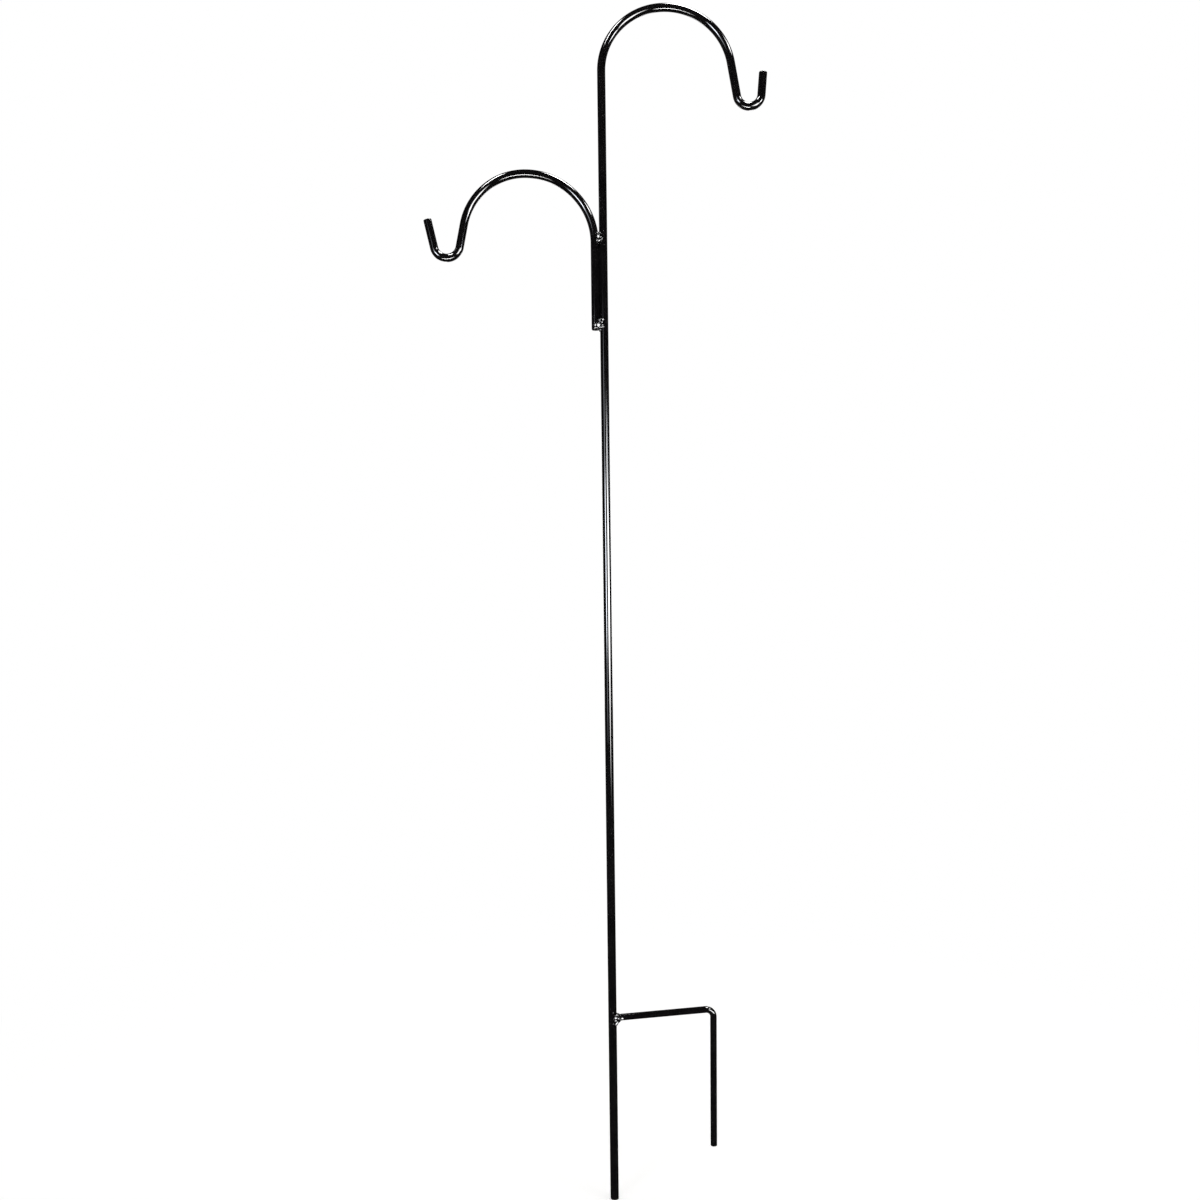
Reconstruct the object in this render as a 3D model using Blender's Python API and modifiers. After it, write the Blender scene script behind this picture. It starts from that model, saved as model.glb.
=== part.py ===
"""Double shepherd's hook: three bent round steel bars, welded together and enamelled black.

Metres, +Z up. The upright stands on the Z axis, both hooks and the foot lie in the XZ plane, and -Y is
the front. The origin is where the foot bar's axis meets the upright's axis, at the ground line.
"""

import math

import bmesh
import bpy
from mathutils import Matrix, Vector

MM = 0.001
DEG = math.pi / 180

# Bar stock, and the air left between two touching pieces
BAR_DIAMETER = 12.7 * MM
FOOT_BAR_DIAMETER = 10 * MM
CLEARANCE = 0.3 * MM
END_ROUND = 0.8 * MM

# The whole stand
OVERALL_HEIGHT = 1829 * MM
STAKE_DEPTH = 276.5 * MM

# Upper hook, bent from the upright's own bar: crown in two bends, neck, seat, tip
CROWN_RISE_RADIUS = 96 * MM
CROWN_RISE_TURN = 82.2 * DEG
CROWN_FALL_RADIUS = 103.3 * MM
CROWN_FALL_TURN = 88.2 * DEG
NECK_LENGTH = 52 * MM
SEAT_RADIUS = 18.9 * MM
SEAT_TURN = 165.6 * DEG
TIP_LENGTH = 35 * MM

# Side hook: how far its crown lies below the upper one, its run along the upright, and its bends
SIDE_CROWN_DROP = 252 * MM
SIDE_RUN_LENGTH = 133.5 * MM
SIDE_RISE_RADIUS = 107.2 * MM
SIDE_RISE_TURN = 90 * DEG
SIDE_FALL_RADIUS = 94.5 * MM
SIDE_FALL_TURN = 78.9 * DEG
SIDE_NECK_LENGTH = 35.8 * MM
SIDE_SEAT_RADIUS = 20 * MM
SIDE_SEAT_TURN = 156 * DEG
SIDE_TIP_LENGTH = 44.5 * MM

# Foot: an arm that climbs a little away from the upright, a tight elbow, and a prong that leans in a little
FOOT_REACH = 154.6 * MM
FOOT_CLIMB = 4.5 * DEG
FOOT_ELBOW_RADIUS = 10.9 * MM
PRONG_LEAN = 0.5 * DEG
PRONG_DEPTH = 197 * MM

# Weld beads: a bead is a row of frozen puddles. Its crown stands proud of the bars, its root lies between them
PUDDLE_PITCH = 2.9 * MM
RIPPLE_SHARE = 0.12
BEAD_CROWN = 1.7 * MM
BEAD_ROOT = 4 * MM
UPPER_WELD_WIDTH = 12 * MM
UPPER_WELD_LENGTH = 14.5 * MM
LOWER_WELD_WIDTH = 9 * MM
LOWER_WELD_REACH = 18.5 * MM
LOWER_WELD_CLIMB = 18 * MM
LOWER_WELD_SKEW = 1.8 * MM
TOE_WELD_LEG = 3 * MM
TOE_WELD_RUN = 10 * MM
FOOT_WELD_ABOVE = 2 * MM
FOOT_WELD_BELOW = 4.8 * MM
FOOT_WELD_ALONG = 10.5 * MM
FOOT_WELD_LAP = 5.5 * MM
FOOT_WELD_CROWN = 2.4 * MM
FOOT_WELD_ROOT = 2 * MM

# How finely the round forms are faceted
BAR_SIDE_PAIRS = 10
BEND_STEP = 5 * DEG
TIGHT_BEND_STEP = 11 * DEG
TIGHT_BEND_RADIUS = 30 * MM
BEAD_SIDES = 14
STATIONS_PER_PUDDLE = 4

# How many points of each centre line the welds reach along: a straight run, and on the side hook a few
# more round the first bend
WELDED_POINTS = {"main_upright": 2, "side_hook": 6, "foot_prong": 2}

ENAMEL_BLACK = (0.011, 0.011, 0.013, 1)
BAR_ROUGHNESS = 0.13
WELD_ROUGHNESS = 0.2

BAR_RADIUS = BAR_DIAMETER / 2
FOOT_BAR_RADIUS = FOOT_BAR_DIAMETER / 2
CROWN_TOP = OVERALL_HEIGHT - STAKE_DEPTH
SIDE_OFFSET = BAR_DIAMETER + CLEARANCE
GROOVE_X = -SIDE_OFFSET / 2


def clear_scene():
    for obj in list(bpy.data.objects):
        bpy.data.objects.remove(obj, do_unlink=True)


def new_collection(name):
    collection = bpy.data.collections.new(name)
    bpy.context.scene.collection.children.link(collection)
    return collection


def enamel(name, roughness):
    """Glossy black stoving enamel over steel, as a Principled BSDF."""
    material = bpy.data.materials.new(name)
    material.use_nodes = True
    shader = material.node_tree.nodes["Principled BSDF"]
    shader.inputs["Base Color"].default_value = ENAMEL_BLACK
    shader.inputs["Roughness"].default_value = roughness
    shader.inputs["Metallic"].default_value = 0
    material.diffuse_color = ENAMEL_BLACK
    return material


def run(length):
    return ("run", length)


def bend(radius, turn):
    """A bend to the left where turn is positive, to the right where it is negative."""
    return ("bend", radius, turn)


def bar_line(start, heading, moves):
    """Points (x, z) of a bar's centre line: runs and bends follow each other tangentially from start."""
    points = [Vector(start)]
    for kind, *sizes in moves:
        here = points[-1]
        ahead = Vector((math.cos(heading), math.sin(heading)))
        if kind == "run":
            points.append(here + ahead * sizes[0])
            continue
        radius, turn = sizes
        left = Vector((-ahead.y, ahead.x)) * math.copysign(1, turn)
        centre = here + left * radius
        step = TIGHT_BEND_STEP if radius < TIGHT_BEND_RADIUS else BEND_STEP
        steps = math.ceil(abs(turn) / step)
        for i in range(1, steps + 1):
            points.append(centre + Matrix.Rotation(turn * i / steps, 2) @ (here - centre))
        heading += turn
    return points


def crown_height(moves):
    """How high a bar's centre line climbs above its start when it sets off straight up."""
    return max(point.y for point in bar_line((0, 0), math.pi / 2, moves))


def bar_curve(name, line, diameter, collection):
    """A round bar along a centre line in the XZ plane."""
    data = bpy.data.curves.new(name, "CURVE")
    data.dimensions = "3D"
    data.bevel_depth = diameter / 2
    data.bevel_resolution = BAR_SIDE_PAIRS
    data.use_fill_caps = True
    spline = data.splines.new("POLY")
    spline.points.add(len(line) - 1)
    for slot, point in zip(spline.points, line):
        slot.co = (point.x, 0, point.y, 1)
    obj = bpy.data.objects.new(name, data)
    collection.objects.link(obj)
    return obj


def round_cut_ends(obj):
    """The saw cut's edge, eased by deburring and by the paint's own skin."""
    weld = obj.modifiers.new("join_caps", "WELD")
    weld.merge_threshold = END_ROUND / 20
    edge = obj.modifiers.new("ease_ends", "BEVEL")
    edge.width = END_ROUND
    edge.segments = 2
    edge.limit_method = "ANGLE"
    edge.angle_limit = 60 * DEG


def as_mesh(curve, collection):
    """The curve's solid as a mesh object, its caps joined to its sides, in place of the curve."""
    bpy.context.view_layer.update()
    graph = bpy.context.evaluated_depsgraph_get()
    mesh = bpy.data.meshes.new_from_object(curve.evaluated_get(graph))
    work = bmesh.new()
    work.from_mesh(mesh)
    bmesh.ops.remove_doubles(work, verts=work.verts, dist=CLEARANCE / 10)
    bmesh.ops.recalc_face_normals(work, faces=work.faces)
    work.to_mesh(mesh)
    work.free()
    obj = bpy.data.objects.new(curve.name + "_solid", mesh)
    obj.matrix_world = curve.matrix_world
    collection.objects.link(obj)
    bpy.data.objects.remove(curve, do_unlink=True)
    return obj


def bar_space(name, line, diameter, collection):
    """The room that a bar takes up, with the clearance round it and past its ends, as a cutter."""
    first = line[0] + (line[0] - line[1]).normalized() * CLEARANCE
    last = line[-1] + (line[-1] - line[-2]).normalized() * CLEARANCE
    longer = [first, *line[1:-1], last]
    space = as_mesh(bar_curve(name, longer, diameter + 2 * CLEARANCE, collection), collection)
    space.hide_render = True
    space.display_type = "WIRE"
    return space


def boolean(obj, operation, other):
    modifier = obj.modifiers.new(operation.lower() + "_" + other.name, "BOOLEAN")
    modifier.operation = operation
    modifier.object = other
    modifier.solver = "EXACT"


def bead_rings(stations):
    """Rings of points round each station's centre: half an ellipse out to the crown, half in to the root."""
    angles = [2 * math.pi * i / BEAD_SIDES for i in range(BEAD_SIDES)]
    for centre, across, crown, root in stations:
        ring = []
        for angle in angles:
            up = math.sin(angle)
            ring.append(centre + across * math.cos(angle) + (crown * up if up > 0 else root * -up))
        yield ring


def bead_solid(name, stations, closed, collection):
    """Weld metal lofted through its stations: a closed ring, or a run whose ends are drawn to a point."""
    mesh = bpy.data.meshes.new(name)
    work = bmesh.new()
    inner = stations if closed else stations[1:-1]
    rings = [[work.verts.new(point) for point in ring] for ring in bead_rings(inner)]
    following = rings[1:] + rings[:1] if closed else rings[1:]
    for near, far in zip(rings, following):
        for i in range(BEAD_SIDES):
            work.faces.new((near[i - 1], near[i], far[i], far[i - 1]))
    if not closed:
        for end, ring in ((stations[0], rings[0]), (stations[-1], rings[-1])):
            tip = work.verts.new(end[0])
            for i in range(BEAD_SIDES):
                work.faces.new((ring[i - 1], ring[i], tip))
    bmesh.ops.recalc_face_normals(work, faces=work.faces)
    work.to_mesh(mesh)
    work.free()
    obj = bpy.data.objects.new(name, mesh)
    collection.objects.link(obj)
    return obj


def ripple(puddles):
    """How full the bead is after so many puddles: full in the middle of each, and pinched between two."""
    return 1 - RIPPLE_SHARE * (1 - abs(math.sin(math.pi * puddles)))


def straight_bead(start, end, across, crown, root):
    """Stations of a run from start to end. Its ends close in a quarter round, like a frozen puddle's edge."""
    count = max(2, round((end - start).length / PUDDLE_PITCH))
    steps = count * STATIONS_PER_PUDDLE
    rounding = across.length / (end - start).length
    stations = []
    for i in range(steps + 1):
        share = i / steps
        from_end = min(share, 1 - share) / rounding
        fullness = math.sqrt(max(0, 1 - (1 - min(from_end, 1)) ** 2)) * ripple(share * count)
        full = [vector * fullness for vector in (across, crown, root)]
        stations.append((start.lerp(end, share), *full))
    return stations


def groove_bead(start, end, width, side):
    """A run over the groove between the two bars, from (x, z) to (x, z). side is -1 at the front, 1 behind."""
    depth = side * BAR_RADIUS
    low, high = Vector((start[0], depth, start[1])), Vector((end[0], depth, end[1]))
    across = (high - low).normalized().cross(Vector((0, 1, 0))) * width / 2
    crown, root = Vector((0, side * BEAD_CROWN, 0)), Vector((0, -side * BEAD_ROOT, 0))
    return straight_bead(low, high, across, crown, root)


def seat_bead(bead, spaces, material):
    """Cuts the bead back to its seat round the bars that it holds."""
    for space in spaces:
        boolean(bead, "DIFFERENCE", space)
    finish(bead, material)


def finish(obj, material):
    """Enamels the piece and shades it smooth apart from its sharp edges."""
    obj.data.materials.append(material)
    if obj.type == "MESH":
        obj.data.shade_smooth()
        obj.data.set_sharp_from_angle(angle=50 * DEG)


def upright_line():
    """Stake tip, up the upright, over the crown, down the neck, round the seat and up to the tip."""
    hook = [
        bend(CROWN_RISE_RADIUS, -CROWN_RISE_TURN),
        bend(CROWN_FALL_RADIUS, -CROWN_FALL_TURN),
        run(NECK_LENGTH),
        bend(SEAT_RADIUS, SEAT_TURN),
        run(TIP_LENGTH),
    ]
    shank = OVERALL_HEIGHT - BAR_RADIUS - crown_height(hook)
    return bar_line((0, -STAKE_DEPTH), math.pi / 2, [run(shank), *hook])


def side_line():
    """Cut end, up beside the upright, over the lower crown to the left, neck, seat and tip."""
    hook = [
        bend(SIDE_RISE_RADIUS, SIDE_RISE_TURN),
        bend(SIDE_FALL_RADIUS, SIDE_FALL_TURN),
        run(SIDE_NECK_LENGTH),
        bend(SIDE_SEAT_RADIUS, -SIDE_SEAT_TURN),
        run(SIDE_TIP_LENGTH),
    ]
    bend_start = CROWN_TOP - SIDE_CROWN_DROP - BAR_RADIUS - crown_height(hook)
    cut_end = (-SIDE_OFFSET, bend_start - SIDE_RUN_LENGTH)
    return bar_line(cut_end, math.pi / 2, [run(SIDE_RUN_LENGTH), *hook])


def foot_line():
    """From the upright's side along the arm, round the elbow and down the prong.

    The arm climbs from a square cut, so the top of the cut comes nearest to the upright.
    """
    turn = 90 * DEG + FOOT_CLIMB + PRONG_LEAN
    setback = FOOT_ELBOW_RADIUS * math.tan(turn / 2)
    start = (BAR_RADIUS + CLEARANCE + FOOT_BAR_RADIUS * math.sin(FOOT_CLIMB)) / math.cos(FOOT_CLIMB)
    arm = FOOT_REACH / math.cos(FOOT_CLIMB) - start - setback
    corner_height = FOOT_REACH * math.tan(FOOT_CLIMB)
    prong = (PRONG_DEPTH + corner_height) / math.cos(PRONG_LEAN) - setback
    root = (start * math.cos(FOOT_CLIMB), start * math.sin(FOOT_CLIMB))
    return bar_line(root, FOOT_CLIMB, [run(arm), bend(FOOT_ELBOW_RADIUS, -turn), run(prong)])


def crotch_bead(side_points, side):
    """The upper weld: a short climb over the groove, where the side bar starts to bend away."""
    low = side_points[1].y
    return groove_bead((GROOVE_X, low), (GROOVE_X, low + UPPER_WELD_LENGTH), UPPER_WELD_WIDTH, side)


def cut_end_beads(side_points, side):
    """The lower weld's two passes: across the bars at the side bar's cut end, then up the groove."""
    low = side_points[0].y + CLEARANCE
    middle = low + LOWER_WELD_WIDTH / 2
    left = GROOVE_X - LOWER_WELD_SKEW - LOWER_WELD_REACH / 2
    across = groove_bead((left, middle), (left + LOWER_WELD_REACH, middle), LOWER_WELD_WIDTH, side)
    x = GROOVE_X + LOWER_WELD_SKEW
    up = groove_bead((x, low), (x, low + LOWER_WELD_CLIMB), LOWER_WELD_WIDTH, side)
    return across, up


def toe_bead(side_points):
    """The fillet under the side bar's cut end, along its corner with the upright, from front to back."""
    level = side_points[0].y
    front, back = [Vector((-BAR_RADIUS, y, level)) for y in (-TOE_WELD_RUN / 2, TOE_WELD_RUN / 2)]
    down = Vector((0, 0, -TOE_WELD_LEG))
    return straight_bead(front, back, Vector((TOE_WELD_LEG, 0, 0)), down, -down)


def foot_bead():
    """The weld round the foot bar's end, along its corner with the upright: thin above, thick below."""
    tilt = Matrix.Rotation(-FOOT_CLIMB, 3, "Y")
    count = round(2 * math.pi * FOOT_BAR_RADIUS / PUDDLE_PITCH)
    steps = count * STATIONS_PER_PUDDLE
    stations = []
    for i in range(steps):
        turn = 2 * math.pi * i / steps
        out = Vector((0, math.sin(turn), math.cos(turn)))
        corner = out * FOOT_BAR_RADIUS
        corner.x = math.sqrt(max(BAR_RADIUS**2 - corner.y**2, 0))
        leg = FOOT_WELD_ABOVE if out.z > 0 else FOOT_WELD_BELOW
        side_share = math.sqrt(abs(out.y))
        along = leg + (FOOT_WELD_ALONG - leg) * side_share
        lap = leg + (FOOT_WELD_LAP - leg) * side_share
        height = leg + (FOOT_WELD_CROWN - leg) * side_share
        centre = corner + Vector(((along - lap) / 2, 0, 0))
        fullness = ripple(i / STATIONS_PER_PUDDLE)
        across = Vector(((along + lap) / 2 * fullness, 0, 0))
        crown = tilt @ out * height * fullness
        stations.append((tilt @ centre, tilt @ across, crown, tilt @ out * -FOOT_WELD_ROOT))
    return stations


def toe_ceiling(side_points, collection):
    """A block level with the side bar's cut end, which keeps the toe weld below it."""
    size = 4 * BAR_DIAMETER
    mesh = bpy.data.meshes.new("toe_ceiling")
    work = bmesh.new()
    bmesh.ops.create_cube(work, size=size)
    work.to_mesh(mesh)
    work.free()
    block = bpy.data.objects.new("toe_ceiling", mesh)
    block.location = (0, 0, side_points[0].y - CLEARANCE + size / 2)
    block.hide_render = True
    block.display_type = "WIRE"
    collection.objects.link(block)
    return block


def build():
    clear_scene()
    parts = new_collection("shepherds_hook")
    cutters = new_collection("cutters")

    lines = {"main_upright": upright_line(), "side_hook": side_line(), "foot_prong": foot_line()}
    diameters = {"main_upright": BAR_DIAMETER, "side_hook": BAR_DIAMETER, "foot_prong": FOOT_BAR_DIAMETER}
    spaces = {}
    for name, line in lines.items():
        bar = bar_curve(name, line, diameters[name], parts)
        round_cut_ends(bar)
        finish(bar, enamel(name + "_enamel", BAR_ROUGHNESS))
        spaces[name] = bar_space(name + "_space", line[:WELDED_POINTS[name]], diameters[name], cutters)

    pair = [spaces["main_upright"], spaces["side_hook"]]
    side_points = lines["side_hook"]
    for where, side in (("front", -1), ("back", 1)):
        name = "upper_weld_" + where
        bead = bead_solid(name, crotch_bead(side_points, side), False, parts)
        seat_bead(bead, pair, enamel(name + "_enamel", WELD_ROUGHNESS))
        name = "lower_weld_" + where
        across, up = cut_end_beads(side_points, side)
        bead = bead_solid(name, across, False, parts)
        second = bead_solid(name + "_second_pass", up, False, cutters)
        second.hide_render = True
        second.display_type = "WIRE"
        second.data.shade_smooth()
        boolean(bead, "UNION", second)
        seat_bead(bead, pair, enamel(name + "_enamel", WELD_ROUGHNESS))
    toe = bead_solid("lower_weld_toe", toe_bead(side_points), False, parts)
    seat_bead(toe, [*pair, toe_ceiling(side_points, cutters)], enamel("lower_weld_toe_enamel", WELD_ROUGHNESS))
    foot = bead_solid("foot_weld", foot_bead(), True, parts)
    seat_bead(foot, [spaces["main_upright"], spaces["foot_prong"]], enamel("foot_weld_enamel", WELD_ROUGHNESS))


build()
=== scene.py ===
"""A double shepherd's hook of black enamelled steel bar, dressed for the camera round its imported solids."""
import math
import random

import bmesh
import bpy
from mathutils import Euler, Matrix, Vector, noise


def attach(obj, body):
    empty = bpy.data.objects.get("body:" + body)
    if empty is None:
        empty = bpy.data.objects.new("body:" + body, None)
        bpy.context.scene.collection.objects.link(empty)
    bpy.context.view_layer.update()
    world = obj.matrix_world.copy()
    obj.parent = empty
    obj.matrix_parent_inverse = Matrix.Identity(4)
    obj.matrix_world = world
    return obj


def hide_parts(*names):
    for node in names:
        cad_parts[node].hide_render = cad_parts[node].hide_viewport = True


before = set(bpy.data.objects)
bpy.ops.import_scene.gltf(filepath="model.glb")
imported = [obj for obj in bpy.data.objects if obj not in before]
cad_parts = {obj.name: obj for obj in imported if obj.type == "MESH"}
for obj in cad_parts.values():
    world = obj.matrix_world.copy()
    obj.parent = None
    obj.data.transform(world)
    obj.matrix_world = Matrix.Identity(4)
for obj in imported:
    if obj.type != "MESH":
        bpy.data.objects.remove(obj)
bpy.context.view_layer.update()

# Main upright: one 12.7 mm round steel bar from the stake's end to the high crook's tip, sawn to length, bent
# cold round formers, and stove-enamelled gloss black after welding. Its cut ends are flat with an eased edge,
# its tight bends go slightly oval, and its run is never dead true.
MM = 0.001
BAR_RADIUS = 6.35 * MM
STAKE_END = Vector((0, 0, -276.5)) * MM
STRAIGHT_UP = 90
UPRIGHT_MOVES = [
    ("run", 1726.58 * MM),
    ("bend", 96 * MM, -82.2),
    ("bend", 103.3 * MM, -88.2),
    ("run", 52 * MM),
    ("bend", 18.9 * MM, 165.6),
    ("run", 35 * MM),
]
RUN_STEP = 9 * MM
BEND_STEP = 1.5
TIGHT_BEND = 30 * MM
BAR_SIDES = 40
EASED_EDGE = 0.8 * MM
EDGE_STEPS = 4
OVAL_SHARE = 0.1
WAVE_HEIGHT = 0.018 * MM
WAVE_LENGTH = 42 * MM
EDGE_WEAR, SIDE_WEAR, CUT_FACE_WEAR = 1, 0, 0.3


def bar_line(start, heading, moves):
    """Points along a bar in the XZ plane, each with its direction, distance along and curvature."""
    point, heading, along = Vector(start), math.radians(heading), 0
    line = [(point, heading, along, 0)]
    for kind, *sizes in moves:
        if kind == "run":
            length = sizes[0]
            count = max(1, math.ceil(length / RUN_STEP))
            ahead = Vector((math.cos(heading), 0, math.sin(heading)))
            for i in range(1, count + 1):
                share = i / count
                line.append((point + ahead * length * share, heading, along + length * share, 0))
            point, along = point + ahead * length, along + length
            continue
        radius, degrees = sizes
        turn = math.radians(degrees)
        side = math.copysign(1, turn)
        centre = point + Vector((-math.sin(heading), 0, math.cos(heading))) * side * radius
        step = BEND_STEP * (2 if radius < TIGHT_BEND else 1)
        count = math.ceil(abs(degrees) / step)
        for i in range(1, count + 1):
            part = turn * i / count
            now = heading + part
            spot = centre - Vector((-math.sin(now), 0, math.cos(now))) * side * radius
            eased = math.sin(math.pi * i / count) ** 0.5 if i < count else 0
            line.append((spot, now, along + abs(part) * radius, side * eased / radius))
        point, along, heading = line[-1][0], line[-1][2], heading + turn
    return line


def bar(name, line, radius, seed):
    """A swept round bar with eased cut ends. Each point keeps its place on the bar before it was bent."""
    ease = EASED_EDGE * radius / BAR_RADIUS
    cut_end = []
    for i in range(EDGE_STEPS + 1):
        angle = math.pi / 2 * i / EDGE_STEPS
        inset, offset = ease * (1 - math.sin(angle)), ease * (1 - math.cos(angle))
        cut_end.append((radius - inset, offset, EDGE_WEAR))
    cut_end.append((radius, 2 * ease, SIDE_WEAR))
    last = len(line) - 1
    stations = [(0, size, offset, worn) for size, offset, worn in cut_end]
    stations += [(i, radius, 0, SIDE_WEAR) for i in range(1, last)]
    stations += [(last, size, -offset, worn) for size, offset, worn in reversed(cut_end)]

    mesh = bpy.data.meshes.new(name)
    work = bmesh.new()
    straight, wear, rings = [], [], []
    for i, size, offset, worn in stations:
        point, heading, along, curvature = line[i]
        ahead = Vector((math.cos(heading), 0, math.sin(heading)))
        left = Vector((-ahead.z, 0, ahead.x))
        point, along = point + ahead * offset, along + offset
        bow = [noise.noise(Vector((seed + k, along / WAVE_LENGTH, 0))) * WAVE_HEIGHT for k in (0, 9)]
        point = point + left * bow[0] + Vector((0, bow[1], 0))
        squeeze = OVAL_SHARE * (curvature * radius) ** 2
        ring = []
        for k in range(BAR_SIDES):
            turn = 2 * math.pi * k / BAR_SIDES
            in_plane, in_depth = math.cos(turn) * size, math.sin(turn) * size
            out = left * in_plane * (1 - squeeze) + Vector((0, in_depth * (1 + squeeze / 2), 0))
            ring.append(work.verts.new(point + out))
            straight.append((in_plane, in_depth, along))
            wear.append(worn)
        rings.append(ring)
    for near, far in zip(rings, rings[1:]):
        for k in range(BAR_SIDES):
            work.faces.new((near[k - 1], near[k], far[k], far[k - 1])).smooth = True
    for ring, deep in ((rings[0], 0), (rings[-1], line[-1][2])):
        middle = work.verts.new(sum((v.co for v in ring), Vector()) / BAR_SIDES)
        straight.append((0, 0, deep))
        wear.append(CUT_FACE_WEAR)
        for k in range(BAR_SIDES):
            work.faces.new((ring[k - 1], ring[k], middle))
    bmesh.ops.recalc_face_normals(work, faces=work.faces)
    work.to_mesh(mesh)
    work.free()

    places = mesh.attributes.new("straight", "FLOAT_VECTOR", "POINT")
    places.data.foreach_set("vector", [number for place in straight for number in place])
    mesh.attributes.new("wear", "FLOAT", "POINT").data.foreach_set("value", wear)
    piece = bpy.data.objects.new(name, mesh)
    bpy.context.scene.collection.objects.link(piece)
    return piece


class Wire:
    """One socket of a material's nodes. A sum or product with a wire in it adds a Math node."""

    def __init__(self, tree, socket=None):
        self.tree, self.socket = tree, socket

    def node(self, kind, settings, inputs, output=0):
        """Adds a node: its settings first, then its sockets' values or links, each by name or by number."""
        made = self.tree.nodes.new("ShaderNode" + kind)
        for name, value in settings.items():
            setattr(made, name, value)
        for name, value in inputs.items():
            if isinstance(value, Wire):
                self.tree.links.new(value.socket, made.inputs[name])
            else:
                made.inputs[name].default_value = value
        return Wire(self.tree, made.outputs[output] if len(made.outputs) else None)

    def maths(self, operation, *values):
        return self.node("Math", {"operation": operation}, dict(enumerate(values)))

    def __add__(self, other):
        return self.maths("ADD", self, other)

    def __sub__(self, other):
        return self.maths("SUBTRACT", self, other)

    def __mul__(self, other):
        return self.maths("MULTIPLY", self, other)

    def __radd__(self, other):
        return self.maths("ADD", other, self)

    def __rsub__(self, other):
        return self.maths("SUBTRACT", other, self)

    def __rmul__(self, other):
        return self.maths("MULTIPLY", other, self)

    def between(self, low, high):
        """0 below low, 1 above high, and a smooth climb between them."""
        ends = {"Value": self, "From Min": low, "From Max": high}
        return self.node("MapRange", {"interpolation_type": "SMOOTHSTEP"}, ends)

    def noise(self, cells, detail=2, stretch=(1, 1, 1)):
        """Noise from 0 to 1 in cells to the metre. A stretch under 1 draws the cells out that way."""
        place = self.node("Mapping", {}, {"Vector": self, "Scale": tuple(cells * s for s in stretch)})
        return self.node("TexNoise", {}, {"Vector": place, "Scale": 1, "Detail": detail})

    def blend(self, low, high):
        """A colour that goes from low to high as this value goes from 0 to 1."""
        factor, low_colour, high_colour, blended = 0, 6, 7, 2
        inputs = {factor: self, low_colour: low, high_colour: high}
        return self.node("Mix", {"data_type": "RGBA"}, inputs, blended)


BLACK = (0.0034, 0.003, 0.0033, 1)
THIN_BLACK = (0.0062, 0.0056, 0.0058, 1)
DUST = (0.07, 0.066, 0.06, 1)
BARE_EDGE = (0.13, 0.12, 0.11, 1)
BAR_ROUGHNESS = 0.05
HAZE_DULLS, RUBS_DULL, DUST_DULLS, CHIPS_DULL = 0.04, 0.06, 0.12, 0.25
HAZE_COAT_SHARE = 0.2
DUST_TINT_SHARE = 0.4
RELIEF_DEPTH = 0.012 * MM
PEEL_SHARE, SWELL_SHARE, CHIP_SHARE = 0.06, 0.5, 0.1

# Marks in the enamel: each has its cells to the metre, its detail and, if it is drawn out along the bar, its
# stretch. A mark's range is the noise value where it begins and the one where it is full.
PEEL = (620, 1)
SWELL, SWELL_RANGE = (90, 2, (1, 1, 0.35)), (0.3, 0.7)
HAZE, HAZE_RANGE = (38, 3, (1, 1, 0.4)), (0.52, 0.75)
RUBS, RUBS_RANGE = (1500, 2, (1, 1, 0.012)), (0.62, 0.7)
RUB_PATCHES, RUB_PATCH_RANGE = (24, 1), (0.5, 0.62)
SPECKS, SPECKS_RANGE = (2400, 0), (0.7, 0.78)
DUST_PATCHES, DUST_PATCH_RANGE = (60, 2), (0.45, 0.75)
CHIPS, CHIPS_RANGE = (900, 3), (0.56, 0.6)


def enamel(name, on_bar, gloss):
    """Gloss black enamel: orange peel, haze, lengthwise rubs, a little dust, and thin at the cut edges."""
    material = bpy.data.materials.new(name)
    material.use_nodes = True
    tree = material.node_tree
    tree.nodes.clear()
    bare = Wire(tree)
    if on_bar:
        place = bare.node("Attribute", {"attribute_name": "straight"}, {}, "Vector")
    else:
        place = bare.node("TexCoord", {}, {}, "Object")
    peel = place.noise(*PEEL)
    swell = place.noise(*SWELL)
    haze = place.noise(*HAZE).between(*HAZE_RANGE)
    rubs = place.noise(*RUBS).between(*RUBS_RANGE) * place.noise(*RUB_PATCHES).between(*RUB_PATCH_RANGE)
    dust = place.noise(*SPECKS).between(*SPECKS_RANGE) * place.noise(*DUST_PATCHES).between(*DUST_PATCH_RANGE)
    colour = swell.between(*SWELL_RANGE).blend(BLACK, THIN_BLACK)
    colour = (dust * DUST_TINT_SHARE).blend(colour, DUST)
    rough = gloss + haze * HAZE_DULLS + rubs * RUBS_DULL + dust * DUST_DULLS
    height = peel * PEEL_SHARE + swell * SWELL_SHARE
    if on_bar:
        worn = bare.node("Attribute", {"attribute_name": "wear"}, {}, "Fac")
        chipped = worn * place.noise(*CHIPS).between(*CHIPS_RANGE)
        colour = chipped.blend(colour, BARE_EDGE)
        rough = rough + chipped * CHIPS_DULL
        height = height - chipped * CHIP_SHARE
    normal = bare.node("Bump", {}, {"Strength": 0.5, "Distance": RELIEF_DEPTH, "Height": height})
    finish = {
        "Base Color": colour,
        "Roughness": rough,
        "IOR": 1.52,
        "Coat Weight": 1 - haze * HAZE_COAT_SHARE,
        "Coat Roughness": 0.02,
        "Coat IOR": 1.5,
        "Normal": normal,
    }
    bare.node("OutputMaterial", {}, {"Surface": bare.node("BsdfPrincipled", {}, finish)})
    return material


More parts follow.
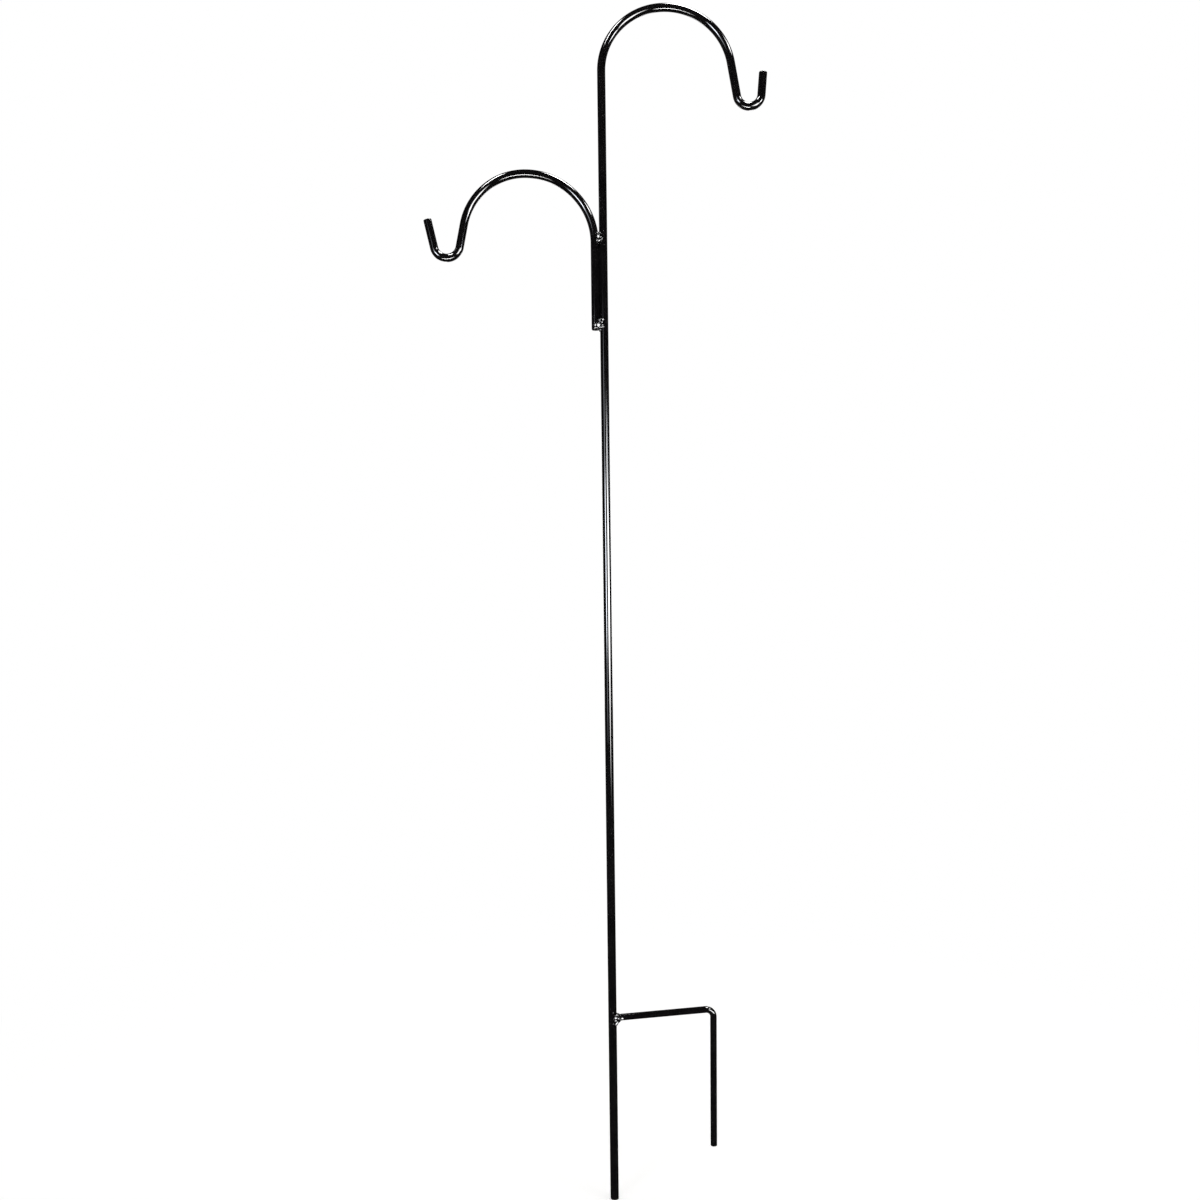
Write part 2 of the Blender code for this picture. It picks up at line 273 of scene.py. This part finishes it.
upright = bar("upright_bar", bar_line(STAKE_END, STRAIGHT_UP, UPRIGHT_MOVES), BAR_RADIUS, 3)
upright.data.materials.append(enamel("upright_enamel", True, BAR_ROUGHNESS))
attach(upright, "root")
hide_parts("main_upright")

# Side hook: a second 12.7 mm bar with the low crook. Its sawn lower end lies against the upright's left side,
# and its straight run is held there by welds at both ends.
SIDE_AXIS = -13
SIDE_START = Vector((SIDE_AXIS, 0, 1053.45)) * MM
SIDE_MOVES = [
    ("run", 133.5 * MM),
    ("bend", 107.2 * MM, 90),
    ("bend", 94.5 * MM, 78.9),
    ("run", 35.8 * MM),
    ("bend", 20 * MM, -156),
    ("run", 44.5 * MM),
]
side = bar("side_bar", bar_line(SIDE_START, STRAIGHT_UP, SIDE_MOVES), BAR_RADIUS, 31)
side.data.materials.append(enamel("side_enamel", True, BAR_ROUGHNESS))
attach(side, "root")
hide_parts("side_hook")

# Foot prong: a thinner 10 mm bar, pressed to a tight elbow, whose arm is the step for pushing the stand in.
# Its arm's end is butted against the upright and welded all round.
FOOT_RADIUS = 5 * MM
FOOT_CLIMB = 4.5
FOOT_REACH = 154.6 * MM
PRONG_LEAN = 0.5
PRONG_DEPTH = 197 * MM
ELBOW_RADIUS = 10.9 * MM
BUTT_GAP = 0.3 * MM
climb, elbow_turn = math.radians(FOOT_CLIMB), FOOT_CLIMB + PRONG_LEAN + 90
setback = ELBOW_RADIUS * math.tan(math.radians(elbow_turn / 2))
arm_start = (BAR_RADIUS + BUTT_GAP + FOOT_RADIUS * math.sin(climb)) / math.cos(climb)
prong_run = (PRONG_DEPTH + FOOT_REACH * math.tan(climb)) / math.cos(math.radians(PRONG_LEAN)) - setback
FOOT_MOVES = [
    ("run", FOOT_REACH / math.cos(climb) - arm_start - setback),
    ("bend", ELBOW_RADIUS, -elbow_turn),
    ("run", prong_run),
]
foot_start = Vector((math.cos(climb), 0, math.sin(climb))) * arm_start
foot = bar("foot_bar", bar_line(foot_start, FOOT_CLIMB, FOOT_MOVES), FOOT_RADIUS, 57)
foot.data.materials.append(enamel("foot_enamel", True, BAR_ROUGHNESS))
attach(foot, "root")
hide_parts("foot_prong")

# Paint seam: where the side bar's straight run lies against the upright, enamel has bridged the hair gap
# between them and dried as a thin web with a hollow face at the front and at the back.
SEAM_LOW, SEAM_HIGH = 1056 * MM, 1197 * MM
SEAM_STEP = 2.5 * MM
SEAM_REACH = 1.25 * MM
SEAM_BITE = 0.05 * MM
HOLLOW_SHARE = 0.45
SEAM_SPANS = 6
LONG_WAVER, SHORT_WAVER = 9 * MM, 6 * MM
LONG_ROW, SHORT_ROW = 5, 8
LONG_SHARE, SHORT_SHARE = 0.3, 0.2
SEAM_ROUGHNESS = 0.1
work = bmesh.new()
rings = []
for i in range(round((SEAM_HIGH - SEAM_LOW) / SEAM_STEP) + 1):
    level = SEAM_LOW + i * SEAM_STEP
    fill = SEAM_REACH * (1 + LONG_SHARE * noise.noise(Vector((level / LONG_WAVER, LONG_ROW, 0))))
    ring = []
    for face in (-1, 1):
        reach = fill * (1 + SHORT_SHARE * noise.noise(Vector((level / SHORT_WAVER, SHORT_ROW, face))))
        sink = math.sqrt(BAR_RADIUS**2 - reach**2)
        left_edge, right_edge = SIDE_AXIS * MM + sink - SEAM_BITE, -sink + SEAM_BITE
        for k in range(SEAM_SPANS + 1):
            share = k / SEAM_SPANS if face < 0 else 1 - k / SEAM_SPANS
            hollow = 1 - HOLLOW_SHARE * math.sin(math.pi * share)
            across = left_edge + (right_edge - left_edge) * share
            ring.append(work.verts.new((across, face * reach * hollow, level)))
    rings.append(ring)
for near, far in zip(rings, rings[1:]):
    for k in range(len(near)):
        work.faces.new((near[k - 1], near[k], far[k], far[k - 1]))
work.faces.new(rings[0])
work.faces.new(rings[-1])
bmesh.ops.recalc_face_normals(work, faces=work.faces)
seam_mesh = bpy.data.meshes.new("paint_seam")
work.to_mesh(seam_mesh)
work.free()
seam_mesh.shade_smooth()
seam = bpy.data.objects.new("paint_seam", seam_mesh)
bpy.context.scene.collection.objects.link(seam)
seam.data.materials.append(enamel("seam_enamel", False, SEAM_ROUGHNESS))
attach(seam, "root")

# Upper welds: wire weld in the crotch where the side bar bends away, one short climb of puddles at the front
# and one behind. The metal has wetted down onto both bars, and the enamel covers it. Weld sizes are in mm.
SKIN_VOXEL = 0.25 * MM
BALL_DETAIL = 4
FLOW_PULL, FLOW_PASSES = 0.6, 9
PLACE_STRAY, TILT_STRAY = 0.15, 6
SIZE_STRAY_SHARE, END_SHRINK_SHARE = 0.03, 0.2
WELD_ROUGHNESS = 0.07


def weld_metal(name, puddles):
    """Weld metal as one skin round its puddles, each a centre and half sizes in mm and turns in degrees."""
    work = bmesh.new()
    for centre, sizes, turns in puddles:
        turned = Euler([math.radians(turn) for turn in turns]).to_matrix().to_4x4()
        scaled = Matrix.Diagonal((*(size * MM for size in sizes), 1))
        shape = Matrix.Translation(Vector(centre) * MM) @ turned @ scaled
        bmesh.ops.create_icosphere(work, subdivisions=BALL_DETAIL, radius=1, matrix=shape)
    lumps_mesh = bpy.data.meshes.new(name + "_lumps")
    work.to_mesh(lumps_mesh)
    work.free()
    lumps = bpy.data.objects.new(name + "_lumps", lumps_mesh)
    bpy.context.scene.collection.objects.link(lumps)
    skin = lumps.modifiers.new("skin", "REMESH")
    skin.mode, skin.voxel_size = "VOXEL", SKIN_VOXEL
    flow = lumps.modifiers.new("flow", "SMOOTH")
    flow.factor, flow.iterations = FLOW_PULL, FLOW_PASSES
    bpy.context.view_layer.update()
    mesh = bpy.data.meshes.new_from_object(lumps.evaluated_get(bpy.context.evaluated_depsgraph_get()))
    mesh.name = name
    bpy.data.objects.remove(lumps)
    mesh.shade_smooth()
    piece = bpy.data.objects.new(name, mesh)
    bpy.context.scene.collection.objects.link(piece)
    return piece


def run_of_puddles(start, end, count, sizes, seed):
    """Evenly laid puddles from start to end, smaller at both ends, with a welder's small unevenness."""
    hand = random.Random(seed)
    start, end = Vector(start), Vector(end)
    puddles = []
    for i in range(count):
        stray = Vector([hand.uniform(-PLACE_STRAY, PLACE_STRAY) for _ in range(3)])
        centre = start.lerp(end, i / (count - 1)) + stray
        shrink = END_SHRINK_SHARE * (i in (0, count - 1))
        swell = 1 - shrink + hand.uniform(-SIZE_STRAY_SHARE, SIZE_STRAY_SHARE)
        tilt = hand.uniform(-TILT_STRAY, TILT_STRAY)
        puddles.append((centre, [size * swell for size in sizes], (0, tilt, 0)))
    return puddles


weld_coat = enamel("weld_enamel", False, WELD_ROUGHNESS)
CROTCH_ACROSS, CROTCH_OUT = -6.5, 5.5
CROTCH_LOW, CROTCH_HIGH = 1188.6, 1200
CROTCH_COUNT, CROTCH_SIZES = 9, (5, 2.3, 2.6)
CROTCH_LAPS = [
    ((-7.6, -7.5, 1194.4), (3.3, 0.8, 4), (15, 0, 17)),
    ((-9.4, -6.8, 1189.4), (2.3, 0.9, 2.2), (15, 0, 17)),
    ((-2.3, -6.3, 1191.9), (2.6, 0.8, 1.7), (15, 0, -13)),
]
for where, face, seed in (("front", -1, 11), ("back", 1, 12)):
    name = "upper_weld_" + where
    low_end, high_end = ((CROTCH_ACROSS, face * CROTCH_OUT, level) for level in (CROTCH_LOW, CROTCH_HIGH))
    crotch = run_of_puddles(low_end, high_end, CROTCH_COUNT, CROTCH_SIZES, seed)
    if where == "front":
        crotch += CROTCH_LAPS
    piece = weld_metal(name + "_metal", crotch)
    piece.data.materials.append(weld_coat)
    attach(piece, "root")
    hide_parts(name)

# Lower welds: two passes at the side bar's cut end, front and back: one across its end and the upright, then
# one up the groove, with broad flat laps over them at the front. A small fillet fills the corner below.
CUT_LEFT, CUT_RIGHT = -15.2, -1.4
CUT_OUT, CUT_LEVEL = 5.4, 1057.9
CUT_COUNT, CUT_SIZES = 11, (2.2, 2.3, 3.7)
GROOVE_ACROSS, GROOVE_OUT = -4.9, 5.5
GROOVE_LOW, GROOVE_HIGH = 1058, 1068.6
GROOVE_COUNT, GROOVE_SIZES = 9, (3.7, 2.3, 2.3)
GROOVE_SEED_STEP = 5
FILLET_ACROSS, FILLET_OUT, FILLET_LEVEL = -6.6, 3.2, 1053.4
FILLET_COUNT, FILLET_SIZES, FILLET_SEED = 9, (2.6, 1.3, 2.3), 31
CUT_LAPS = [
    ((-13.6, -7, 1058.8), (2.6, 0.8, 4.2), (12, 0, 17)),
    ((-9, -7.5, 1058.8), (3.7, 0.8, 4.6), (12, 0, 17)),
    ((-2.4, -6.8, 1059.4), (3, 0.8, 1.9), (12, 14, 17)),
    ((-6.6, -7, 1067.5), (2.2, 0.9, 2.6), (12, 0, 17)),
    ((-2.1, -6.4, 1068.1), (2.5, 0.9, 2.4), (12, 0, 17)),
]
for where, face, seed in (("front", -1, 21), ("back", 1, 22)):
    name = "lower_weld_" + where
    left_end, right_end = ((across, face * CUT_OUT, CUT_LEVEL) for across in (CUT_LEFT, CUT_RIGHT))
    low_end, high_end = ((GROOVE_ACROSS, face * GROOVE_OUT, level) for level in (GROOVE_LOW, GROOVE_HIGH))
    passes = run_of_puddles(left_end, right_end, CUT_COUNT, CUT_SIZES, seed)
    passes += run_of_puddles(low_end, high_end, GROOVE_COUNT, GROOVE_SIZES, seed + GROOVE_SEED_STEP)
    if where == "front":
        passes += CUT_LAPS
    piece = weld_metal(name + "_metal", passes)
    piece.data.materials.append(weld_coat)
    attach(piece, "root")
    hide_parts(name)
front_end, back_end = ((FILLET_ACROSS, face * FILLET_OUT, FILLET_LEVEL) for face in (-1, 1))
fillet = run_of_puddles(front_end, back_end, FILLET_COUNT, FILLET_SIZES, FILLET_SEED)
toe = weld_metal("lower_weld_toe_metal", fillet)
toe.data.materials.append(weld_coat)
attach(toe, "root")
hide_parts("lower_weld_toe")

# Foot weld: one pass all round the foot bar's end. It is thin above and thick below, where the metal ran, and
# its sides lap well along the bar and onto the upright.
COLLAR_COUNT, COLLAR_SEED = 22, 41
BAR_ROUND, FOOT_ROUND = BAR_RADIUS / MM, FOOT_RADIUS / MM
TOP_LEG, BOTTOM_LEG = 2, 4
STAND_OFF, SIDE_STAND_OFF = 0.6, 1.6
RING_DEPTH_SHARE, RING_HEIGHT = 1.02, 4.9
SIDE_LAP, SIDE_LEG, BEAD_DEPTH = 2.6, 2.2, 2.1
COLLAR_LAPS = [
    ((4.4, -7, 2), (2.8, 0.8, 3.2), (-18, 0, 17)),
    ((8.7, -6.5, 0.9), (2.2, 0.8, 2.2), (-18, 0, 17)),
    ((13.9, -5, 0.4), (3.4, 0.8, 3), (-18, -20, 17)),
    ((4.4, -7, -2.2), (2.4, 0.8, 2.2), (-18, 0, 17)),
    ((6.8, -6, -6.2), (2.4, 0.9, 5.4), (-18, 40, 17)),
]
hand = random.Random(COLLAR_SEED)
collar = []
for i in range(COLLAR_COUNT):
    turn = 2 * math.pi * i / COLLAR_COUNT
    out_y, out_z = math.sin(turn), math.cos(turn)
    y = out_y * FOOT_ROUND
    x = math.sqrt(BAR_ROUND**2 - y * y)
    sides = abs(out_y)
    leg = TOP_LEG if out_z > 0 else BOTTOM_LEG
    away = x + STAND_OFF + SIDE_STAND_OFF * sides + hand.uniform(-PLACE_STRAY, PLACE_STRAY)
    centre = (away, y * RING_DEPTH_SHARE, x * math.tan(climb) + out_z * RING_HEIGHT)
    sizes = (leg + SIDE_LAP * sides, BEAD_DEPTH, leg * (1 - sides) + SIDE_LEG * sides)
    collar.append((centre, sizes, (0, 0, 0)))
piece = weld_metal("foot_weld_metal", collar + COLLAR_LAPS)
piece.data.materials.append(weld_coat)
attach(piece, "root")
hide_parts("foot_weld")

# Spatter: beads of weld metal no bigger than a pinhead that froze onto the bars round each weld, and were
# painted over. Two flatter drops sit on the upright beside the foot weld. Each weld has the axis of every bar
# near it, with the lowest and highest drop on that bar, then how many drops and a seed.
SPATTER = [
    ("upper", [(0, 1178, 1208), (SIDE_AXIS, 1178, 1189)], 10, 51),
    ("lower", [(0, 1046, 1080), (SIDE_AXIS, 1056, 1080)], 12, 52),
    ("foot", [(0, -16, 16)], 10, 53),
]
DROP_SMALL, DROP_LARGE, DROP_DEPTH_SHARE = 0.3, 0.6, 0.8
DROP_SPREAD = 4.5
FLAT_DROPS = [((0.9, -5.9, height), (1.4, 0.8, 1.4), (-18, 0, 17)) for height in (9.7, -7.5)]
for where, bars_near, count, seed in SPATTER:
    hand = random.Random(seed)
    drops = list(FLAT_DROPS) if where == "foot" else []
    for i in range(count):
        axis, low, high = hand.choice(bars_near)
        size, across = hand.uniform(DROP_SMALL, DROP_LARGE), hand.uniform(-DROP_SPREAD, DROP_SPREAD)
        face = hand.choice((-1, 1))
        centre = (axis + across, face * math.sqrt(BAR_ROUND**2 - across**2), hand.uniform(low, high))
        drops.append((centre, (size, size * DROP_DEPTH_SHARE, size), (0, 0, 0)))
    piece = weld_metal(where + "_spatter", drops)
    piece.data.materials.append(weld_coat)
    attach(piece, "root")

# Studio: a pale floor that the stake's end stands on, a white surround, and soft boxes. The camera stands
# level, straight in front, with the photograph's slight roll.
CAMERA_PLACE = (-0.0115, -1.89, 0.64)
CAMERA_ROLL = math.radians(0.689)
LENS, SENSOR = 37.03, 36
camera = bpy.data.objects.new("camera", bpy.data.cameras.new("camera"))
camera.data.lens = LENS
camera.data.sensor_width = SENSOR
right, back = (math.cos(CAMERA_ROLL), 0, -math.sin(CAMERA_ROLL)), (0, -1, 0)
up = (math.sin(CAMERA_ROLL), 0, math.cos(CAMERA_ROLL))
camera.matrix_world = Matrix.Translation(CAMERA_PLACE) @ Matrix((right, up, back)).transposed().to_4x4()
bpy.context.scene.collection.objects.link(camera)
bpy.context.scene.camera = camera
bpy.context.scene.view_settings.view_transform = "Standard"

FLOOR_RADIUS, FLOOR_SIDES = 9, 64
WHITE = (1, 1, 1, 1)
PALE = (0.8, 0.79, 0.77, 1)
SHADE_INNER, SHADE_OUTER = 0.3, 1.6
FLOOR_LIFT = 0.54
FLOOR_SHINE = 0.01
floor_mesh = bpy.data.meshes.new("floor")
work = bmesh.new()
bmesh.ops.create_circle(work, cap_ends=True, segments=FLOOR_SIDES, radius=FLOOR_RADIUS)
work.to_mesh(floor_mesh)
work.free()
floor = bpy.data.objects.new("floor", floor_mesh)
floor.location.z = STAKE_END.z
bpy.context.scene.collection.objects.link(floor)
pale = bpy.data.materials.new("pale_floor")
pale.use_nodes = True
pale.node_tree.nodes.clear()
bare = Wire(pale.node_tree)
seen = bare.node("LightPath", {}, {}, "Is Camera Ray")
mirrored = bare.node("LightPath", {}, {}, "Is Glossy Ray")
spot = bare.node("TexCoord", {}, {}, "Object")
spread = bare.node("VectorMath", {"operation": "LENGTH"}, {0: spot}, "Value")
near_stand = 1 - spread.between(SHADE_INNER, SHADE_OUTER)
lit = bare.node("BsdfDiffuse", {}, {"Color": PALE})
glow, lift, dim = (
    bare.node("Emission", {}, {"Color": WHITE, "Strength": strength})
    for strength in (1, FLOOR_LIFT, FLOOR_SHINE)
)
shaded = bare.node("AddShader", {}, {0: lift, 1: lit})
shown = bare.node("MixShader", {}, {0: near_stand, 1: glow, 2: shaded})
unseen = bare.node("MixShader", {}, {0: mirrored, 1: lit, 2: dim})
bare.node("OutputMaterial", {}, {"Surface": bare.node("MixShader", {}, {0: seen, 1: unseen, 2: shown})})
floor.data.materials.append(pale)

BACKDROP_SHINE = 0.35
BACKDROP_EDGE, BACKDROP_FULL = 0.7, 0.9
PLAIN_FILL = 0.45
world = bpy.data.worlds.new("studio")
bpy.context.scene.world = world
world.use_nodes = True
world.node_tree.nodes.clear()
bare = Wire(world.node_tree)
direct = bare.node("LightPath", {}, {}, "Is Camera Ray")
glossy = bare.node("LightPath", {}, {}, "Is Glossy Ray")
depth = bare.node("SeparateXYZ", {}, {0: bare.node("TexCoord", {}, {}, "Generated")}, "Y")
behind = depth.between(BACKDROP_EDGE, BACKDROP_FULL)
strength = direct + (1 - direct) * (glossy * (behind * BACKDROP_SHINE) + (1 - glossy) * PLAIN_FILL)
background = bare.node("Background", {}, {"Color": WHITE, "Strength": strength})
bare.node("OutputWorld", {}, {"Surface": background})

# Soft boxes: some on stands round the hook and some hung over it, whose faces make the long lines of light
# on the enamel. The nearest one and the line boxes show in gloss alone, so that a plain colour renders about
# as it is written.
SOFT_EDGE_SHARE = 0.15
WATTS_FOR_WHITE = 4


def soft_box(name, place, turns, size, level, colour):
    """A soft box whose light falls off towards its edges. level is its brightness against white."""
    data = bpy.data.lights.new(name, "AREA")
    data.shape = "RECTANGLE"
    data.size, data.size_y = size
    data.energy = WATTS_FOR_WHITE * size[0] * size[1]
    data.use_nodes = True
    data.node_tree.nodes.clear()
    bare = Wire(data.node_tree)
    strength = level
    for way in ("X", "Y"):
        part = bare.node("SeparateXYZ", {}, {0: bare.node("NewGeometry", {}, {}, "Parametric")}, way)
        strength = part.between(0, SOFT_EDGE_SHARE) * (1 - part).between(0, SOFT_EDGE_SHARE) * strength
    face = bare.node("Emission", {}, {"Color": colour, "Strength": strength})
    bare.node("OutputLight", {}, {"Surface": face})
    turn, tip, spin = (math.radians(angle) for angle in turns)
    lamp = bpy.data.objects.new(name, data)
    facing = Matrix.Rotation(turn, 4, "Z") @ Matrix.Rotation(tip, 4, "X") @ Matrix.Rotation(spin, 4, "Z")
    lamp.matrix_world = Matrix.Translation(place) @ facing
    lamp.visible_camera = False
    bpy.context.scene.collection.objects.link(lamp)
    return lamp


COOL = (0.88, 0.92, 1, 1)
GLOSS_ALONE, LIGHTS_PAINT = False, True
# Each stand: degrees round from the camera, distance, height, spin, size, level, colour and what it lights.
STANDS = [
    ("right_box", 33.4, 2.8, 0.66, -24, (1.71, 1.19), 11.5, WHITE, GLOSS_ALONE),
    ("right_side", 54.3, 6, 0.7, -43, (1.33, 1.41), 18, WHITE, LIGHTS_PAINT),
    ("right_high", 48, 5.39, 1.29, -39, (0.43, 1.3), 14, COOL, LIGHTS_PAINT),
    ("left_box", -31.9, 6, 1.05, -40, (2.3, 2.7), 2.5, COOL, LIGHTS_PAINT),
    ("left_near", -29.4, 6, 0.89, 11, (1.38, 1.26), 18, COOL, LIGHTS_PAINT),
    ("rear_left", -163, 2.4, 0.8, 0, (0.5, 1.1), 2.5, WHITE, LIGHTS_PAINT),
    ("rear_right", 163, 2.4, 0.8, 0, (0.5, 1.1), 2.5, WHITE, LIGHTS_PAINT),
]
UPRIGHT_BOX = 90
for name, around, distance, height, spin, size, level, colour, lights_paint in STANDS:
    away = math.radians(around)
    place = (distance * math.sin(away), -distance * math.cos(away), height)
    lamp = soft_box(name, place, (around, UPRIGHT_BOX, spin), size, level, colour)
    lamp.visible_diffuse = lights_paint

CEILING = 3.3
OPEN_FACE, NARROW_GRID = 180, 64
# Each line box: place, turns in degrees, size, level and how wide its light spreads.
LINE_BOXES = [
    ("ceiling_left", (-1.08, -1.1, CEILING), (0, 0, -25), (0.29, 1.72), 32, OPEN_FACE),
    ("ceiling_middle", (0.69, -0.03, CEILING), (0, 0, 44), (0.6, 1.14), 34, OPEN_FACE),
    ("ceiling_right", (2.14, -0.96, CEILING), (0, 0, -62), (1.02, 0.73), 18, OPEN_FACE),
    ("crown_strip", (-0.29, -1.45, -0.2), (0, 138, 0), (2.04, 0.2), 5, NARROW_GRID),
]
for name, place, turns, size, level, spread in LINE_BOXES:
    lamp = soft_box(name, place, turns, size, level, WHITE)
    lamp.data.spread = math.radians(spread)
    lamp.visible_diffuse = GLOSS_ALONE
